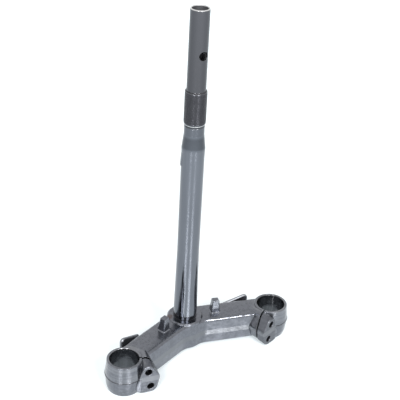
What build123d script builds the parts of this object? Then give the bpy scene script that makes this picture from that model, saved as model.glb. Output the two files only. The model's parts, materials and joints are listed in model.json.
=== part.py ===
from build123d import *
import os
from math import atan2, cos, degrees, hypot, radians, sin, tan

# Lower fork yoke with its steering stem, in millimetres.
# Origin: steering axis at the machined top faces of the yoke. +Z up the stem, -Y forward.

# Fork clamps
fork_spacing = 216.0
fork_offset = 35.5
fork_tube_d = 35.0
fork_clearance = 0.1
clamp_height = 41.0
clamp_rim_wall = 3.1
clamp_foot_wall = 2.1
clamp_foot_taper = 6.0
clamp_rim_chamfer = 0.6
bore_chamfer = 0.5

# Drop forging: draft on both sides of the parting plane, flash left on the clamps, ground off on the arms
forging_draft = 6.0
flash_proud = 0.3
flash_height = 1.2
land_height = 7.0
arm_front = 15.0
arm_rear = 18.1
arm_drop = 2.0
arm_lift = 4.0
arm_round = 4.5
arm_foot_chamfer = 0.8
clamp_blend = 8.0
clamp_inset = 0.6

# Centre boss
boss_d = 44.0
boss_blend = 24.0
boss_chamfer = 1.5

# Pinch ears: split through the clamp axis, two screws that cross it, and the face for their heads
slot_angle = 28.0
slot_width = 2.0
screw_angle = 14.0
ear_face = 21.1
ear_back = 8.0
ear_lean = 3.0
ear_chamfer = 0.8
ear_upper_r = 8.0
ear_lower_r = 8.4
ear_middle_reach = 29.1
ear_root_reach = 17.0
screw_upper_reach = 23.6
screw_lower_reach = 26.5
screw_upper_depth = 11.0
screw_lower_depth = 31.7
screw_clear_d = 8.4
screw_tap_d = 6.8
screw_tap_depth = 18.0
screw_chamfer = 0.6

# Steering stop lugs on top of the arms
stop_reach = 39.2
stop_width = 11.5
stop_front = 3.4
stop_rear = 8.4
stop_height = 18.5
stop_root = 3.0
stop_side_draft = 4.0
stop_front_draft = 1.0
stop_rear_draft = 10.0
stop_round = 1.2
stop_chamfer = 0.9
stop_foot_chamfer = 1.2

# Rear lugs: a web behind each arm that carries an upright fin
lug_start = 57.5
lug_end = 91.0
lug_back = 28.4
lug_thickness = 4.0
lug_low_depth = 11.0
lug_tip_rise = 1.0
lug_tip_round = 5.0
lug_start_round = 3.0
lug_edge_chamfer = 1.2
web_height = 12.0
web_inset = 3.0
web_round = 3.0

# Steering stem
stem_length = 396.0
stem_bore_d = 18.0
stem_top_d = 22.0
stem_thread_d = 24.8
stem_neck_d = 23.3
stem_groove_d = 22.6
stem_tube_d = 26.6
stem_shoulder_d = 27.4
stem_foot_d = 29.0
thread_top = 303.0
thread_bottom = 263.0
groove_bottom = 260.0
cone_top = 250.5
cone_bottom = 233.0
shoulder_run = 12.0
flare_top = 97.0
seat_top = 12.0
relief_d = 27.8
relief_top = 5.0
end_chamfer = 0.8
thread_chamfer = 0.8
cross_hole_d = 10.5
cross_hole_height = 345.3
seam_turn = 37.5

# Steering lock keeper pressed out of the stem
keeper_top = 232.0
keeper_bottom = 211.0
keeper_width = 9.0
keeper_proud = 1.1
keeper_bearing = 123.0
keeper_slot_width = 5.0
keeper_slot_height = 14.0
keeper_slot_lift = 1.5

# Worked out from the driving sizes
draft_slope = tan(radians(forging_draft))
bore_r = fork_tube_d / 2 + fork_clearance
part_z = -clamp_height / 2
clamp_rim_r = bore_r + clamp_rim_wall
clamp_mid_r = clamp_rim_r + clamp_height / 2 * draft_slope
clamp_foot_r = bore_r + clamp_foot_wall
clamp_x = fork_spacing / 2
arm_run = hypot(clamp_x, fork_offset)
arm_sweep = degrees(atan2(fork_offset, clamp_x))
arm_foot_z = arm_lift - clamp_height
draft_run = (-arm_drop - part_z - land_height / 2) * draft_slope
arm_direction = Vector(clamp_x, -fork_offset, 0).normalized()
through = 2 * clamp_height
upward = (Align.CENTER, Align.CENTER, Align.MIN)
downward = (Align.CENTER, Align.CENTER, Align.MAX)


def both_sides(right):
    """A feature of the right-hand side and its mirror image."""
    return right + mirror(right, about=Plane.YZ)


def yoke_plan():
    """Outline of the forging at its parting plane, with the inside corners blended."""
    bar = Rectangle(arm_run, arm_front + arm_rear + 2 * draft_run)
    arm = Rot(0, 0, -arm_sweep) * Pos(arm_run / 2, (arm_rear - arm_front) / 2) * bar
    clamp = Pos(clamp_x, -fork_offset) * Circle(clamp_mid_r - clamp_inset)
    plan = Circle(boss_d / 2 + draft_run) + both_sides(arm + clamp)
    boss_corners = plan.vertices().filter_by(lambda corner: abs(corner.X) < clamp_x / 2)
    plan = fillet(boss_corners, boss_blend)
    clamp_corners = plan.vertices().filter_by(lambda corner: abs(corner.X) > clamp_x / 2)
    return fillet(clamp_corners, clamp_blend)


def forged_half(plan, height, way):
    """Half of the forging: upright beside the parting plane, then drafted."""
    land = extrude(plan, land_height / 2, dir=way)
    start = land.faces().sort_by(Axis((0, 0, 0), way))[-1]
    return land + extrude(start, height - land_height / 2, dir=way, taper=forging_draft)


def forged_body():
    """Arms and boss: edges rounded above and broken below, and the boss machined on top."""
    plan = Pos(0, 0, part_z) * yoke_plan()
    upper = forged_half(plan, -arm_drop - part_z, (0, 0, 1))
    upper = fillet(upper.faces().sort_by(Axis.Z)[-1].edges(), arm_round)
    lower = forged_half(plan, part_z - arm_foot_z, (0, 0, -1))
    lower = chamfer(lower.faces().sort_by(Axis.Z)[0].edges(), arm_foot_chamfer)
    pad_height = arm_drop + arm_round
    pad = Pos(0, 0, -pad_height) * Cylinder(boss_d / 2, pad_height, align=upward)
    pad = chamfer(pad.edges().sort_by(Axis.Z)[-1], boss_chamfer)
    return upper + lower + pad


def clamp_barrel():
    """Solid barrel of the right-hand clamp, before it is bored."""
    taper_z = clamp_foot_taper - clamp_height
    taper_r = clamp_mid_r - (part_z - taper_z) * draft_slope
    flash_r = clamp_mid_r + flash_proud
    flash_top = part_z + flash_height / 2
    flash_foot = part_z - flash_height / 2
    profile = Polyline(
        (0, 0),
        (clamp_rim_r - clamp_rim_chamfer, 0),
        (clamp_rim_r + clamp_rim_chamfer * draft_slope, -clamp_rim_chamfer),
        (clamp_mid_r - flash_height / 2 * draft_slope, flash_top),
        (flash_r, flash_top),
        (flash_r, flash_foot),
        (clamp_mid_r - flash_height / 2 * draft_slope, flash_foot),
        (taper_r, taper_z),
        (clamp_foot_r, -clamp_height),
        (0, -clamp_height),
        close=True,
    )
    return Pos(clamp_x, -fork_offset, 0) * revolve(Plane.XZ * make_face(profile), Axis.Z)


def clamp_plane(angle):
    """Upright plane through the right-hand clamp axis: X outward, Y up, Z forward."""
    turn = radians(angle)
    return Plane(
        origin=(clamp_x, -fork_offset, 0),
        x_dir=(cos(turn), sin(turn), 0),
        z_dir=(sin(turn), -cos(turn), 0),
    )


def screw_places():
    """Screw axes, looking along the screws."""
    return (-screw_upper_reach, -screw_upper_depth), (-screw_lower_reach, -screw_lower_depth)


def ear_outline(lift, squash):
    """Outline of an ear round both screws, raised by a lift and with its heights squashed."""
    upper, lower = screw_places()
    foot = lower[1] * squash + lift
    rings = Pos(upper[0], upper[1] * squash + lift) * Rot(0, 0, -90) * Circle(ear_upper_r)
    for reach, height in ((screw_lower_reach, foot), (ear_middle_reach, part_z), (ear_root_reach, foot)):
        rings += Pos(-reach, height) * Circle(ear_lower_r)
    return make_hull(rings.edges())


def pinch_ears():
    """Front ear, which leans down to its face, and the ear behind the split, which runs into the arm."""
    lean = Vector(0, -ear_lean, ear_face)
    tilted = Plane(origin=(0, ear_lean, 0), x_dir=(1, 0, 0), z_dir=lean.normalized())
    turn = radians(slot_angle - screw_angle)
    gap = Plane(origin=(0, 0, 0), x_dir=(0, 1, 0), z_dir=(sin(turn), 0, cos(turn)))
    front = tilted * extrude(ear_outline(0, ear_face / lean.length), through, both=True)
    front = split(front, Plane.XY.offset(ear_face), keep=Keep.BOTTOM)
    front = chamfer(front.faces().sort_by(Axis.Z)[-1].edges(), ear_chamfer)
    back = Pos(0, 0, -ear_back) * extrude(ear_outline(ear_lean, 1), through)
    ears = split(front, gap, keep=Keep.TOP) + split(back, gap, keep=Keep.BOTTOM)
    return clamp_plane(screw_angle) * ears


def clamp_cuts():
    """Fork bore with its chamfers, the split, and the screw holes of the right-hand clamp."""
    axis = Pos(clamp_x, -fork_offset, 0)
    cuts = axis * Cylinder(bore_r, through)
    for place in (Pos(0, 0, 0) * Rot(180, 0, 0), Pos(0, 0, -clamp_height)):
        cone = Cone(bore_r + bore_chamfer, bore_r, bore_chamfer, align=upward)
        cuts += axis * place * cone
    reach = screw_lower_reach + 2 * ear_lower_r
    cuts += clamp_plane(slot_angle) * Pos(-reach / 2, part_z) * Box(reach, through, slot_width)
    for x, y in screw_places():
        crossing = -x * tan(radians(slot_angle - screw_angle))
        clear = Cylinder(screw_clear_d / 2, 2 * ear_face, align=upward)
        tap = Cylinder(screw_tap_d / 2, screw_tap_depth, align=downward)
        mouth = Cone(screw_clear_d / 2, screw_clear_d / 2 + screw_chamfer, screw_chamfer, align=downward)
        cuts += clamp_plane(screw_angle) * Pos(x, y, crossing) * (clear + tap)
        cuts += clamp_plane(screw_angle) * Pos(x, y, ear_face) * mouth
    return cuts


def with_top_chamfer(view):
    """One view of a stop with its two top corners taken off."""
    return chamfer(view.vertices().group_by(Axis.Y)[-1], stop_chamfer)


def stop_lug():
    """Steering stop that stands on the right-hand arm: upright in front, sloping behind."""
    root = arm_direction * stop_reach - Vector(0, 0, arm_drop + stop_root)
    height = stop_height + stop_root
    front = Trapezoid(stop_width, height, 90 - stop_side_draft, align=(Align.CENTER, Align.MIN))
    side = Polyline(
        (-stop_front, 0),
        (stop_rear, 0),
        (stop_rear - height * tan(radians(stop_rear_draft)), height),
        (-stop_front + height * tan(radians(stop_front_draft)), height),
        close=True,
    )
    across = extrude(Plane.XZ * with_top_chamfer(front), stop_width, both=True)
    along = extrude(Plane.YZ * with_top_chamfer(make_face(side)), stop_width, both=True)
    post = across & along
    uprights = post.edges().filter_by(lambda edge: edge.length > height / 2)
    return Plane(origin=root, x_dir=arm_direction, z_dir=(0, 0, 1)) * fillet(uprights, stop_round)


def with_stops(body):
    """The forged body with both stops, bevelled out where they meet the arms."""
    body += both_sides(stop_lug())
    foot = arm_direction * stop_reach
    level = body.edges().filter_by(lambda edge: abs(edge.center().Z + arm_drop) < flash_proud)
    feet = [
        edge for edge in level
        if hypot(abs(edge.center().X) - foot.X, edge.center().Y - foot.Y) < stop_width
    ]
    return chamfer(feet, stop_foot_chamfer)


def rear_lug():
    """Lug behind the right-hand arm: a web on the parting plane with a fin that rises outward."""
    across = Vector(fork_offset, clamp_x, 0).normalized()
    foot_z = part_z - web_height / 2
    outline = Polyline(
        (lug_start, foot_z),
        (lug_end, foot_z),
        (lug_end, lug_tip_rise),
        (lug_start, -lug_low_depth),
        close=True,
    )
    profile = make_face(outline)
    profile = fillet(profile.vertices().group_by(Axis.X)[-1], lug_tip_round)
    profile = fillet(profile.vertices().group_by(Axis.X)[0], lug_start_round)
    rear = Plane(origin=across * lug_back, x_dir=arm_direction, z_dir=-across)
    fin = chamfer(extrude(rear * profile, lug_thickness).edges(), lug_edge_chamfer)
    web_width = lug_end - lug_start - 2 * web_inset
    web = Box(web_width, lug_back, web_height, align=(Align.CENTER, Align.MIN, Align.CENTER))
    web = fillet(web.edges().filter_by(Axis.Y), web_round)
    level = Plane(origin=(0, 0, part_z), x_dir=arm_direction, z_dir=(0, 0, 1))
    return fin + level * Pos((lug_start + lug_end) / 2, -lug_thickness) * web


def bottom_yoke():
    yoke = with_stops(forged_body())
    yoke += both_sides(clamp_barrel() + pinch_ears())
    yoke += both_sides(rear_lug())
    yoke -= both_sides(clamp_cuts())
    return yoke - Cylinder(stem_foot_d / 2, through)


def stem_outline():
    """Half section of the turned stem, from its foot up to its plain end."""
    foot_z = -clamp_height
    bore = stem_bore_d / 2
    foot = stem_foot_d / 2
    relief = relief_d / 2
    tube = stem_tube_d / 2
    neck = stem_neck_d / 2
    groove = stem_groove_d / 2
    thread = stem_thread_d / 2
    top = stem_top_d / 2
    return Polyline(
        (bore, foot_z),
        (foot - end_chamfer, foot_z),
        (foot, foot_z + end_chamfer),
        (foot, 0),
        (relief, 0),
        (relief, relief_top),
        (foot - end_chamfer, relief_top),
        (foot, relief_top + end_chamfer),
        (foot, seat_top),
        (tube, flare_top),
        (tube, cone_bottom - shoulder_run),
        (stem_shoulder_d / 2, cone_bottom),
        (neck, cone_top),
        (neck, groove_bottom),
        (groove, groove_bottom),
        (groove, thread_bottom),
        (thread - thread_chamfer, thread_bottom),
        (thread, thread_bottom + thread_chamfer),
        (thread, thread_top - thread_chamfer),
        (thread - thread_chamfer, thread_top),
        (top, thread_top),
        (top, stem_length - end_chamfer),
        (top - end_chamfer, stem_length),
        (bore + end_chamfer, stem_length),
        (bore, stem_length - end_chamfer),
        close=True,
    )


def lock_keeper():
    """Lip pressed out of the stem: flush at its top, proud at its foot, with a slot for the lock bolt."""
    bore = stem_bore_d / 2
    tube = stem_tube_d / 2
    lip_outline = Polyline(
        (bore, keeper_bottom),
        (tube + keeper_proud, keeper_bottom),
        (tube, keeper_top),
        (bore, keeper_top),
        close=True,
    )
    ring = revolve(Plane.XZ * make_face(lip_outline), Axis.Z)
    height = keeper_top - keeper_bottom
    outward = (Align.MIN, Align.CENTER, Align.MIN)
    window = Box(stem_tube_d, keeper_width, height, align=outward)
    slot = Box(stem_tube_d, keeper_slot_width, keeper_slot_height, align=outward)
    facing = Rot(0, 0, -90 - keeper_bearing)
    lip = facing * (ring & Pos(0, 0, keeper_bottom) * window)
    return lip, facing * Pos(0, 0, keeper_bottom + keeper_slot_lift) * slot


def steering_stem():
    """Turned tube with its lip and holes. The seam of its faces is turned clear of the cross hole."""
    stem = Rot(0, 0, seam_turn) * revolve(Plane.XZ * make_face(stem_outline()), Axis.Z)
    lip, slot = lock_keeper()
    cross_hole = Pos(0, 0, cross_hole_height) * Rot(90, 0, 0) * Cylinder(cross_hole_d / 2, 2 * stem_top_d)
    return stem + lip - slot - cross_hole


parts = {
    "bottom_yoke": bottom_yoke(),
    "steering_stem": steering_stem(),
}
os.makedirs("parts", exist_ok=True)
for name, solid in parts.items():
    export_step(solid, f"parts/{name}.step")
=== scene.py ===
"""Studio scene of a lower fork yoke with its steering stem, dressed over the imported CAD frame."""

import json
from functools import cached_property
from math import cos, pi, radians, sin

import bpy
from mathutils import Matrix, Vector


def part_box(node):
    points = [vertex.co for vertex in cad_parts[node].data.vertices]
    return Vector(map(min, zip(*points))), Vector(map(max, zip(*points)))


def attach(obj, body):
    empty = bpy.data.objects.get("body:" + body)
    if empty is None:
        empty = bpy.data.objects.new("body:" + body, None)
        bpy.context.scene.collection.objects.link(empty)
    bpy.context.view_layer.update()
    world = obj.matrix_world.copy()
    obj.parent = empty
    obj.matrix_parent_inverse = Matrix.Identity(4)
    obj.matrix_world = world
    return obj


MM = 0.001

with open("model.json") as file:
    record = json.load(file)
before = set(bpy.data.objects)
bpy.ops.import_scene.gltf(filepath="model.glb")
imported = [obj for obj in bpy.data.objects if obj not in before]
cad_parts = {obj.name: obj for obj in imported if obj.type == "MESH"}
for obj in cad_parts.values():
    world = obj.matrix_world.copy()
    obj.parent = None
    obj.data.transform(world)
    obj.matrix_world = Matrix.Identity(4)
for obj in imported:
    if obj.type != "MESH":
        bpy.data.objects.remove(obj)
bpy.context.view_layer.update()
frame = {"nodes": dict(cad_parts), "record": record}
mounts = {mount["name"]: mount for mount in frame["record"]["mounts"]}
floor_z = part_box("bottom_yoke")[0].z
stem_top_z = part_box("steering_stem")[1].z
fork = Vector(mounts["right_fork_clamp"]["pos_m"])
fork_r = mounts["right_fork_clamp"]["dims"]["r_mm"] * MM
stem_bore_r = mounts["stem_bore"]["dims"]["r_mm"] * MM

# Camera, fitted to the photograph
CAMERA_PLACE = Vector((-561.3, -796.2, 719.5)) * MM
CAMERA_YAW = radians(35.82)
CAMERA_PITCH = radians(29.66)
CAMERA_ROLL = radians(3.23)
CAMERA_LENS = 86.71
SENSOR_WIDTH = 36.0

# Lamps: bearing from +X in plan, height above the horizon, both seen from the object
AIM = Vector((0, 0, 60)) * MM
LAMP_DISTANCE = 3.0
LAMPS = {
    "front_lamp": {"bearing": 265, "height": 37, "size": 0.95, "watts": 60},
    "left_lamp": {"bearing": 217, "height": 36, "size": 0.95, "watts": 49},
}

# Room: the strength of its soft light, and of the white background that is looked at
WHITE = (1.0, 1.0, 1.0)
ROOM_LIGHT = 0.47
BACKGROUND = 1.0

# Table: its glow makes it white to look at, more so far from the object
TABLE_SIZE = 30.0
TABLE_COLOUR = (0.85, 0.87, 0.88)
TABLE_ROUGHNESS = 0.22
TABLE_IOR = 2.0
TABLE_GLOW = (0.28, 0.32, 0.335)
TABLE_NEAR = 0.35
TABLE_FAR = 1.4
TABLE_FAR_GLOW = 2.9

# Colours of the finish
STEEL = (0.164, 0.172, 0.194)
GROUND_STEEL = (0.174, 0.181, 0.196)
BORE_STEEL = (0.22, 0.222, 0.235)
# Paler steel for worn edges and turned lines, and painted sheen on the lugs
WEAR_AND_SHEEN_STEEL = (0.311, 0.318, 0.333)
# Painted shade in corners, in the stem's groove and on its foot band, and the dark seam of the
# yoke's parting line
SHADE_AND_SEAM_DARK = (0.035, 0.035, 0.038)
RUST = (0.105, 0.070, 0.062)
TUBE_STEEL = (0.145, 0.156, 0.179)
SATIN_STEEL = (0.071, 0.071, 0.078)
# Painted shade: the thread steel is darkened for the shade in its grooves
THREAD_SHADED_STEEL = (0.055, 0.056, 0.064)
BARE_STEEL = (0.68, 0.68, 0.68)

# Brightness against the colour as written: ranges of the patterns, then single places
STEEL_LEVELS = (0.78, 1.18)
BORE_LEVELS = (0.55, 1.35)
TUBE_LEVELS = (0.9, 1.1)
THREAD_LEVELS = (0.75, 1.1)
# Painted shade: darker copies of the steel on the ears, the stem's dull zone and its cone band
EAR_SHADE_LEVEL = 0.5
DULL_SHADE_LEVEL = 0.72
CONE_SHADE_LEVEL = 0.45

# Shares of the surface below that a coat covers
# Painted shade on the ears
EAR_SHADE_SHARE = 0.45
# Painted sheen on the lugs
LUG_SHEEN_SHARE = 0.45
LINE_SHARE = 0.35
WEAR_SHARES = (0.35, 0.9)
RUST_SHARES = (0.3, 0.9)
# Painted shade in the yoke's corners with its dark parting seam, thinner near the fork clamps
SHADE_AND_SEAM_SHARE = 0.75
FORK_SHADE_SHARES = (0.35, 1.0)
# Painted shade in the stem's groove and on its foot band
STEM_SHADE_SHARE = 0.7
STEM_WEAR_SHARE = 0.6

# Roughness: ranges of the base finish, then what a place adds
YOKE_ROUGHNESS = (0.16, 0.22)
TUBE_ROUGHNESS = (0.13, 0.22)
THREAD_ROUGHNESS = (0.2, 0.26)
GROUND_ROUGHER = -0.02
EAR_ROUGHER = 0.18
LUG_ROUGHER = 0.22
TOP_ROUGHER = 0.1
BLOTCH_ROUGHER = 0.06
INSIDE_ROUGHER = 0.26

# Places on the yoke, with the widths of their soft edges
SOFT = 0.3 * MM
FORK_SKIN = 0.2 * MM
BARREL_WALL = 7.5 * MM
BARREL_SOFT = 1.5 * MM
TURNED_SOFT = 1.0 * MM
LAND_HALF = 3.35 * MM
PARTING_HALF = 0.3 * MM
PARTING_SOFT = 0.6 * MM
ARM_TOP = -2.0 * MM
TOP_SKIN = 0.05 * MM
TOP_SOFT = 0.15 * MM
RIM_FROM = -6.5 * MM
EAR_FRONT = -51 * MM
EAR_REACH = 98 * MM
EAR_SOFT = 3 * MM
BOSS_REACH = 27 * MM
BOSS_SOFT = 8 * MM
FORK_REACH = 24 * MM
FORK_SOFT = 4 * MM
# The painted corner shade thins out between the fork reach and here
FORK_SHADE_TO = 34 * MM
LUG_FROM = 24.1 * MM
CROWN_MIDDLE = 4.0 * MM
CROWN_SLOPE = 0.0105 / MM
CORNER_REACH = 5 * MM
RUST_PLACE = Vector((-20, 6, 0)) * MM
RUST_CORE = 2.8 * MM
RUST_SOFT = 4.2 * MM

# Places on the stem, with the widths of their soft edges
# Foot band: painted shade where the stem meets the boss
FOOT_RELIEF_TOP = 4.9 * MM
FOOT_RELIEF_SOFT = 0.6 * MM
# Cone band and dull zone: painted shade, and the dull zone is rougher too
CONE_FROM = 231 * MM
CONE_TO = 251 * MM
CONE_SOFT = 5 * MM
DULL_FROM = 232 * MM
DULL_TO = 252 * MM
GROOVE_FROM = 260.2 * MM
GROOVE_TO = 262.3 * MM
GROOVE_SOFT = 0.4 * MM
RING_TO = 263.8 * MM
SATIN_SOFT = 1.0 * MM
BARE_LENGTH = 1.0 * MM
BARE_SOFT = 0.4 * MM
STEM_SKIN = 0.1 * MM

# Patterns: feature sizes, and the scales that draw them out round an upright axis or along it
BLOTCH = 11 * MM
GRAIN = 3.2 * MM
WAVE = 12 * MM
TURNED_LINE = 2.2 * MM
BORE_STREAK = 2.6 * MM
STEM_BLOTCH = 12 * MM
STEM_TURNING = 0.9 * MM
STEM_WIPE = 3.5 * MM
OIL = 5 * MM
ROUND_AXIS = (0.05, 0.05, 1)
ALONG_BORE = (1, 1, 0.05)
ALONG_STEM = (1, 1, 0.06)

# Patterns: detail of the noise, and the spans of its values over which a pattern sets in
FINE_DETAIL = 3.0
WAVE_DETAIL = 1.0
GRAIN_SPAN = (0.3, 0.7)
LINE_SPAN = (0.4, 0.6)
WEAR_SPAN = (0.3, 0.6)
RUST_SPAN = (0.4, 0.6)
OIL_SPAN = (0.3, 0.7)

# Patterns: heights in millimetres
GRAIN_BUMP = 0.008
LINE_BUMP = 0.09
WAVE_BUMP = 0.5
TURNING_BUMP = 0.012

# Edges and corners: rounding, samples, cosines from face to edge, and open sky for wear and painted
# shade
YOKE_ROUNDING = 0.7 * MM
STEM_ROUNDING = 0.4 * MM
THREAD_ROUNDING = 0.05 * MM
EDGE_SAMPLES = 6
EDGE_COSINES = (0.99, 0.86)
WEAR_SKY = (0.7, 0.95)
SHADE_SKY = (0.62, 0.25)

# Thread for the head nuts, with the widths of its section as shares of the pitch
THREAD_PITCH = 1.0 * MM
THREAD_RISE = 0.2 * MM
THREAD_SINK = 0.12 * MM
THREAD_STEPS = 72
ROOT_HALF = 0.48
CREST_HALF = 0.06
SECTION_CORNERS = 4


def rgba(colour, level=1.0):
    """A colour at a level of brightness, as a colour socket takes it."""
    return (*(level * value for value in colour), 1.0)


class Graph:
    """A node tree that is built with short calls."""

    def __init__(self, tree):
        self.tree = tree
        self.tree.nodes.clear()

    def add(self, kind, values=None, **settings):
        node = self.tree.nodes.new(kind)
        for name, value in settings.items():
            setattr(node, name, value)
        for name, value in (values or {}).items():
            self.put(node.inputs[name], value)
        return node

    def put(self, socket, value):
        if isinstance(value, bpy.types.NodeSocket):
            self.tree.links.new(value, socket)
        else:
            socket.default_value = value

    def math(self, operation, first, second=0.0):
        return self.add("ShaderNodeMath", {0: first, 1: second}, operation=operation).outputs[0]

    def times(self, first, second):
        return self.math("MULTIPLY", first, second)

    def plus(self, first, second):
        return self.math("ADD", first, second)

    def minus(self, first, second):
        return self.math("SUBTRACT", first, second)

    def mean(self, first, second):
        return self.times(self.plus(first, second), 0.5)

    def either(self, first, second):
        return self.math("MAXIMUM", first, second)

    def absolute(self, value):
        return self.math("ABSOLUTE", value)

    def ramp(self, value, low, high, first=0.0, last=1.0):
        """A smooth step of a value from first at low to last at high."""
        node = self.add(
            "ShaderNodeMapRange",
            {"Value": value, "From Min": low, "From Max": high, "To Min": first, "To Max": last},
            interpolation_type="SMOOTHSTEP",
        )
        return node.outputs["Result"]

    def within(self, value, limit, soft=SOFT):
        """One up to a limit, falling to nought over a soft edge."""
        return self.ramp(value, limit + soft, limit)

    def beyond(self, value, limit, soft=SOFT):
        """Nought up to a limit, rising to one over a soft edge."""
        return self.ramp(value, limit, limit + soft)

    def noise(self, place, size, detail=2.0):
        """Noise from 0 to 1 with features of about this size in metres."""
        values = {"Vector": place, "Scale": 1 / size, "Detail": detail}
        return self.add("ShaderNodeTexNoise", values).outputs["Fac"]

    def vector(self, operation, values, result="Vector"):
        return self.add("ShaderNodeVectorMath", values, operation=operation).outputs[result]

    def stretched(self, place, scale):
        """A place with each axis scaled, which draws a pattern out along the small ones."""
        return self.vector("MULTIPLY", {0: place, 1: scale})

    def distance(self, first, second):
        return self.vector("DISTANCE", {0: first, 1: second}, "Value")

    def dot(self, first, second):
        return self.vector("DOT_PRODUCT", {0: first, 1: second}, "Value")

    def mix(self, factor, first, second):
        node = self.add("ShaderNodeMix", data_type="RGBA")
        for name, value in (("Factor", factor), ("A", first), ("B", second)):
            self.put(node.inputs[name], value)
        return node.outputs["Result"]

    def shown(self):
        """One for rays that show a surface to the camera, straight, mirrored or through glass."""
        path = self.add("ShaderNodeLightPath").outputs
        mirrored = self.either(path["Is Glossy Ray"], path["Is Transmission Ray"])
        return self.either(path["Is Camera Ray"], mirrored)


class Metal(Graph):
    """A material with a metallic shader, and the places and edges that its patterns follow."""

    def __init__(self, name):
        self.material = bpy.data.materials.new(name)
        self.material.use_nodes = True
        super().__init__(self.material.node_tree)
        self.shader = self.add("ShaderNodeBsdfPrincipled", {"Metallic": 1.0})
        self.add("ShaderNodeOutputMaterial", {"Surface": self.shader.outputs["BSDF"]})
        self.place = self.add("ShaderNodeTexCoord").outputs["Object"]
        self.x, self.y, self.z = self.add("ShaderNodeSeparateXYZ", {"Vector": self.place}).outputs

    def rounded(self, radius):
        """Normals that round the edges of the faces."""
        node = self.add("ShaderNodeBevel", {"Radius": radius}, samples=EDGE_SAMPLES)
        return node.outputs["Normal"]

    def open_sky(self, reach):
        """One on open faces, falling to nought in corners."""
        node = self.add(
            "ShaderNodeAmbientOcclusion",
            {"Distance": reach},
            samples=EDGE_SAMPLES,
            only_local=True,
        )
        return node.outputs["AO"]

    def edges(self, normals):
        """One where the rounded normals leave the face, nought on the face."""
        face = self.add("ShaderNodeNewGeometry").outputs["Normal"]
        return self.ramp(self.dot(normals, face), *EDGE_COSINES)

    def band(self, low, high, soft=SOFT):
        """One between two heights, with soft ends inside them."""
        return self.times(self.beyond(self.z, low, soft), self.within(self.z, high - soft, soft))

    def radius_from(self, axis_x, axis_y):
        """Distance from an upright axis."""
        across, along = self.minus(self.x, axis_x), self.minus(self.y, axis_y)
        return self.math("SQRT", self.plus(self.times(across, across), self.times(along, along)))

    def leaned(self, normals, way, slope):
        """Normals leaned along a level way, mirrored in X, by a slope."""
        sideways = self.times(self.math("SIGN", self.x), way.x)
        level = self.add("ShaderNodeCombineXYZ", {"X": sideways, "Y": way.y}).outputs["Vector"]
        lean = self.vector("SCALE", {0: level, "Scale": slope})
        return self.vector("NORMALIZE", {0: self.vector("ADD", {0: normals, 1: lean})})

    def bumped(self, height_mm, normals):
        """Normals with a pattern of heights in millimetres on them."""
        values = {"Height": height_mm, "Strength": 1.0, "Distance": MM, "Normal": normals}
        return self.add("ShaderNodeBump", values).outputs["Normal"]

    def patterned(self, pattern, colour, levels):
        """A colour that a pattern takes from one level of brightness to another."""
        low, high = levels
        return self.mix(pattern, rgba(colour, low), rgba(colour, high))

    def coated(self, colour, *coats):
        """A colour under coats, each given by its mask, the share that it covers and its colour."""
        for mask, share, coat in coats:
            colour = self.mix(self.times(mask, share), colour, coat)
        return colour

    def roughened(self, roughness, *places):
        """A roughness with what each place adds to it."""
        for mask, rise in places:
            roughness = self.plus(roughness, self.times(mask, rise))
        return roughness

    def finish(self, colour, roughness, normals):
        for name, value in (("Base Color", colour), ("Roughness", roughness), ("Normal", normals)):
            self.put(self.shader.inputs[name], value)
        return self.material


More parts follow.
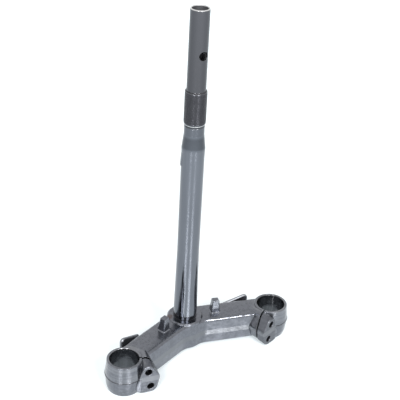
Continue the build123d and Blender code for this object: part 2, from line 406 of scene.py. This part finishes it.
class Yoke(Metal):
    """Dark plating over a forging, with masks for the places that look different."""

    across_arm = Vector((-fork.y, fork.x)).normalized()

    def __init__(self):
        super().__init__("dark_plated_forging")
        right, left = self.radius_from(fork.x, fork.y), self.radius_from(-fork.x, fork.y)
        self.from_fork = self.math("MINIMUM", right, left)
        self.off_parting = self.absolute(self.minus(self.z, fork.z))
        self.bore = self.within(self.from_fork, fork_r + FORK_SKIN)
        self.outside = self.minus(1.0, self.bore)
        self.barrel = self.within(self.from_fork, fork_r + BARREL_WALL, BARREL_SOFT)
        self.turned = self.times(self.barrel, self.beyond(self.z, fork.z, TURNED_SOFT))
        self.grain = self.noise(self.place, GRAIN)
        self.lines = self.noise(self.stretched(self.place, ROUND_AXIS), TURNED_LINE)
        self.edge_normals = self.rounded(YOKE_ROUNDING)
        self.sky = self.open_sky(CORNER_REACH)

    @cached_property
    def ground_land(self):
        """Ground strip along the parting plane of the arms."""
        land = self.within(self.off_parting, LAND_HALF)
        return self.times(land, self.minus(1.0, self.barrel))

    @cached_property
    def ears(self):
        """Pinch ears in front of the fork clamps."""
        front = self.within(self.y, EAR_FRONT, EAR_SOFT)
        return self.times(front, self.within(self.absolute(self.x), EAR_REACH, EAR_SOFT))

    @cached_property
    def behind_middle(self):
        """Distance behind the middle line of either arm."""
        outward = self.times(self.absolute(self.x), self.across_arm.x)
        return self.plus(outward, self.times(self.y, self.across_arm.y))

    @cached_property
    def lugs(self):
        """Lugs behind the arms."""
        return self.beyond(self.behind_middle, LUG_FROM)

    @cached_property
    def arm_tops(self):
        """Flat tops of the arms, between boss and fork clamps."""
        top = self.within(self.absolute(self.minus(self.z, ARM_TOP)), TOP_SKIN, TOP_SOFT)
        beyond_boss = self.beyond(self.radius_from(0.0, 0.0), BOSS_REACH, BOSS_SOFT)
        short_of_fork = self.beyond(self.from_fork, FORK_REACH, FORK_SOFT)
        return self.times(top, self.times(beyond_boss, short_of_fork))

    @cached_property
    def rust(self):
        """Rust spot beside the boss."""
        return self.within(self.distance(self.place, RUST_PLACE), RUST_CORE, RUST_SOFT)

    def worn_edges(self):
        """Edges that stand in the open."""
        return self.times(self.edges(self.edge_normals), self.ramp(self.sky, *WEAR_SKY))

    def corner_shade_and_seam(self):
        """Painted shade in corners, thinner near the fork clamps, and a dark seam on the clamps'
        parting line.
        """
        corners = self.times(self.ramp(self.sky, *SHADE_SKY), self.outside)
        thinned = self.ramp(self.from_fork, FORK_REACH, FORK_SHADE_TO, *FORK_SHADE_SHARES)
        line = self.within(self.off_parting, PARTING_HALF, PARTING_SOFT)
        parting_line = self.times(self.times(self.barrel, self.outside), line)
        return self.either(self.times(corners, thinned), parting_line)

    def colour(self):
        blotches = self.noise(self.place, BLOTCH, FINE_DETAIL)
        mottle = self.mean(blotches, self.ramp(self.grain, *GRAIN_SPAN))
        streaks = self.noise(self.stretched(self.place, ALONG_BORE), BORE_STREAK)
        scored = self.times(self.ramp(self.lines, *LINE_SPAN), self.turned)
        wear_share = self.ramp(self.grain, *WEAR_SPAN, *WEAR_SHARES)
        rust_share = self.ramp(self.grain, *RUST_SPAN, *RUST_SHARES)
        return self.coated(
            self.patterned(mottle, STEEL, STEEL_LEVELS),
            # Painted shade: the ears are darkened towards a darker copy of the steel
            (self.ears, EAR_SHADE_SHARE, rgba(STEEL, EAR_SHADE_LEVEL)),
            (self.ground_land, 1.0, rgba(GROUND_STEEL)),
            # Painted sheen: the lugs are lightened towards the paler steel
            (self.lugs, LUG_SHEEN_SHARE, rgba(WEAR_AND_SHEEN_STEEL)),
            (scored, LINE_SHARE, rgba(WEAR_AND_SHEEN_STEEL)),
            (self.bore, 1.0, self.patterned(streaks, BORE_STEEL, BORE_LEVELS)),
            (self.worn_edges(), wear_share, rgba(WEAR_AND_SHEEN_STEEL)),
            (self.rust, rust_share, rgba(RUST)),
            # Painted shade in corners, and the dark seam on the parting line
            (self.corner_shade_and_seam(), SHADE_AND_SEAM_SHARE, rgba(SHADE_AND_SEAM_DARK)),
        )

    def roughness(self):
        return self.roughened(
            self.ramp(self.grain, *GRAIN_SPAN, *YOKE_ROUGHNESS),
            (self.either(self.ground_land, self.band(RIM_FROM, ARM_TOP)), GROUND_ROUGHER),
            (self.either(self.rust, self.ears), EAR_ROUGHER),
            (self.lugs, LUG_ROUGHER),
            (self.arm_tops, TOP_ROUGHER),
        )

    def normals(self):
        """Rounded edges, arm tops leaned as on a slightly crowned forging, and an uneven skin."""
        off_middle = self.minus(self.behind_middle, CROWN_MIDDLE)
        slope = self.times(self.times(off_middle, CROWN_SLOPE), self.arm_tops)
        turned_lines = self.times(self.times(self.lines, self.turned), LINE_BUMP)
        waves = self.times(self.noise(self.place, WAVE, WAVE_DETAIL), WAVE_BUMP)
        height = self.plus(self.plus(self.times(self.grain, GRAIN_BUMP), turned_lines), waves)
        return self.bumped(height, self.leaned(self.edge_normals, self.across_arm, slope))


def yoke_finish():
    metal = Yoke()
    return metal.finish(metal.colour(), metal.roughness(), metal.normals())


def stem_finish():
    """Dark plated tube, satin from the thread up, bare on the ring under it and on the top rim,
    with painted shade on the dull zone, the cone band, the groove and the foot band.
    """
    metal = Metal("dark_plated_tube")
    blotches = metal.noise(metal.place, STEM_BLOTCH, FINE_DETAIL)
    turning = metal.noise(metal.stretched(metal.place, ROUND_AXIS), STEM_TURNING)
    wipes = metal.noise(metal.stretched(metal.place, ALONG_STEM), STEM_WIPE)
    dull_and_shaded = metal.ramp(metal.z, DULL_FROM, DULL_TO)
    satin = metal.beyond(metal.z, RING_TO, SATIN_SOFT)
    cone = metal.band(CONE_FROM, CONE_TO, CONE_SOFT)
    groove = metal.band(GROOVE_FROM, GROOVE_TO, GROOVE_SOFT)
    ring = metal.band(GROOVE_TO, RING_TO)
    rim = metal.beyond(metal.z, stem_top_z - BARE_LENGTH, BARE_SOFT)
    inside = metal.within(metal.radius_from(0.0, 0.0), stem_bore_r + STEM_SKIN)
    foot_relief = metal.within(metal.z, FOOT_RELIEF_TOP, FOOT_RELIEF_SOFT)
    normals = metal.rounded(STEM_ROUNDING)

    colour = metal.coated(
        metal.patterned(wipes, TUBE_STEEL, TUBE_LEVELS),
        # Painted shade: the dull zone and the cone band are darker copies of the tube steel
        (dull_and_shaded, 1.0, rgba(TUBE_STEEL, DULL_SHADE_LEVEL)),
        (satin, 1.0, rgba(SATIN_STEEL)),
        (cone, 1.0, rgba(TUBE_STEEL, CONE_SHADE_LEVEL)),
        # Painted shade in the groove
        (groove, STEM_SHADE_SHARE, rgba(SHADE_AND_SEAM_DARK)),
        (metal.edges(normals), STEM_WEAR_SHARE, rgba(WEAR_AND_SHEEN_STEEL)),
        # Painted shade on the foot band where the stem meets the boss
        (foot_relief, STEM_SHADE_SHARE, rgba(SHADE_AND_SEAM_DARK)),
        (inside, 1.0, rgba(BORE_STEEL)),
        (metal.either(rim, ring), 1.0, rgba(BARE_STEEL)),
    )
    roughness = metal.roughened(
        metal.ramp(dull_and_shaded, 0.0, 1.0, *TUBE_ROUGHNESS),
        (blotches, BLOTCH_ROUGHER),
        (inside, INSIDE_ROUGHER),
    )
    height = metal.times(metal.times(turning, satin), TURNING_BUMP)
    return metal.finish(colour, roughness, metal.bumped(height, normals))


def thread_finish():
    """Satin steel darkened as painted shade of the thread's grooves, with oil in the thread."""
    metal = Metal("dark_thread")
    oil = metal.noise(metal.place, OIL, FINE_DETAIL)
    # Painted shade of the thread's grooves, varied by the oil
    colour = metal.patterned(oil, THREAD_SHADED_STEEL, THREAD_LEVELS)
    roughness = metal.ramp(oil, *OIL_SPAN, *THREAD_ROUGHNESS)
    return metal.finish(colour, roughness, metal.rounded(THREAD_ROUNDING))


def dress(node, material):
    """Puts a finish on a CAD node."""
    materials = frame["nodes"][node].data.materials
    materials.clear()
    materials.append(material)


def placed_mesh(name, verts, faces, material):
    """A mesh object of one material in the scene."""
    mesh = bpy.data.meshes.new(name)
    mesh.from_pydata(verts, [], faces)
    mesh.materials.append(material)
    piece = bpy.data.objects.new(name, mesh)
    bpy.context.collection.objects.link(piece)
    return piece


def thread_section(angle, level, radius, fade):
    """Corners of the thread ridge at one angle, sunk at the root and low where it fades out."""
    root = radius - THREAD_SINK
    crest = root + (THREAD_SINK + THREAD_RISE) * fade
    corners = ((root, -ROOT_HALF), (crest, -CREST_HALF), (crest, CREST_HALF), (root, ROOT_HALF))
    across, along = cos(angle), sin(angle)
    return [(reach * across, reach * along, level + rise * THREAD_PITCH) for reach, rise in corners]


def stem_thread():
    """Helical ridge of the fine thread, with its root sunk in the stem."""
    seat = mounts["head_nut_thread"]
    radius = seat["dims"]["r_mm"] * MM
    length = seat["dims"]["length_mm"] * MM - THREAD_PITCH
    start = seat["pos_m"][2] - length / 2
    count = round(length / THREAD_PITCH * THREAD_STEPS)
    verts = []
    for step in range(count + 1):
        turns = step / THREAD_STEPS
        fade = min(1.0, turns, (count - step) / THREAD_STEPS)
        verts += thread_section(2 * pi * turns, start + THREAD_PITCH * turns, radius, fade)
    last = count * SECTION_CORNERS
    ends = (range(SECTION_CORNERS), reversed(range(last, last + SECTION_CORNERS)))
    faces = [tuple(end) for end in ends]
    for near in range(0, last, SECTION_CORNERS):
        far = near + SECTION_CORNERS
        for corner in range(SECTION_CORNERS):
            following = (corner + 1) % SECTION_CORNERS
            faces.append((near + corner, far + corner, far + following, near + following))
    piece = placed_mesh("stem_thread", verts, faces, thread_finish())
    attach(piece, "root")


def table():
    """Pale glossy table that is white to look at and keeps the object's shadow."""
    half = TABLE_SIZE / 2
    plan = ((-half, -half), (half, -half), (half, half), (-half, half))
    corners = [(x, y, floor_z) for x, y in plan]
    material = bpy.data.materials.new("pale_table")
    material.use_nodes = True
    graph = Graph(material.node_tree)
    top = graph.add(
        "ShaderNodeBsdfPrincipled",
        {"Base Color": rgba(TABLE_COLOUR), "Roughness": TABLE_ROUGHNESS, "IOR": TABLE_IOR},
    )
    place = graph.add("ShaderNodeTexCoord").outputs["Object"]
    away = graph.distance(place, Vector())
    rise = graph.ramp(away, TABLE_NEAR, TABLE_FAR, 1.0, TABLE_FAR_GLOW)
    strength = graph.times(graph.shown(), rise)
    glow = graph.add("ShaderNodeEmission", {"Color": rgba(TABLE_GLOW), "Strength": strength})
    both = graph.add("ShaderNodeAddShader", {0: top.outputs["BSDF"], 1: glow.outputs["Emission"]})
    graph.add("ShaderNodeOutputMaterial", {"Surface": both.outputs["Shader"]})
    placed_mesh("table", corners, [(0, 1, 2, 3)], material)


def room():
    """A soft light, and white to the camera and in what the metal mirrors."""
    surroundings = bpy.data.worlds.new("studio")
    surroundings.use_nodes = True
    graph = Graph(surroundings.node_tree)
    strength = graph.ramp(graph.shown(), 0.0, 1.0, ROOM_LIGHT, BACKGROUND)
    background = graph.add("ShaderNodeBackground", {"Color": rgba(WHITE), "Strength": strength})
    graph.add("ShaderNodeOutputWorld", {"Surface": background.outputs["Background"]})
    bpy.context.scene.world = surroundings


def direction(bearing, height):
    """Unit vector at a bearing from +X in plan and a height above the horizon, in radians."""
    return Vector((cos(height) * cos(bearing), cos(height) * sin(bearing), sin(height)))


def lamp(name, bearing, height, size, watts):
    """Round soft lamp that looks at the object."""
    light = bpy.data.lights.new(name, "AREA")
    light.shape = "DISK"
    light.size = size
    light.energy = watts
    way = direction(radians(bearing), radians(height))
    fixture = bpy.data.objects.new(name, light)
    fixture.location = AIM + way * LAMP_DISTANCE
    fixture.rotation_euler = way.to_track_quat("Z", "Y").to_euler()
    bpy.context.collection.objects.link(fixture)


def camera():
    """Camera at the photograph's place and angle."""
    forward = direction(pi / 2 - CAMERA_YAW, -CAMERA_PITCH)
    level = Vector((cos(CAMERA_YAW), -sin(CAMERA_YAW), 0))
    rise = level.cross(forward)
    right = cos(CAMERA_ROLL) * level + sin(CAMERA_ROLL) * rise
    up = cos(CAMERA_ROLL) * rise - sin(CAMERA_ROLL) * level
    data = bpy.data.cameras.new("camera")
    data.sensor_width = SENSOR_WIDTH
    data.lens = CAMERA_LENS
    viewer = bpy.data.objects.new("camera", data)
    turn = Matrix((right, up, -forward)).transposed()
    viewer.matrix_world = Matrix.Translation(CAMERA_PLACE) @ turn.to_4x4()
    bpy.context.collection.objects.link(viewer)
    bpy.context.scene.camera = viewer


dress("bottom_yoke", yoke_finish())
dress("steering_stem", stem_finish())
stem_thread()
table()
room()
for name, facts in LAMPS.items():
    lamp(name, **facts)
camera()
bpy.context.scene.view_settings.view_transform = "Standard"
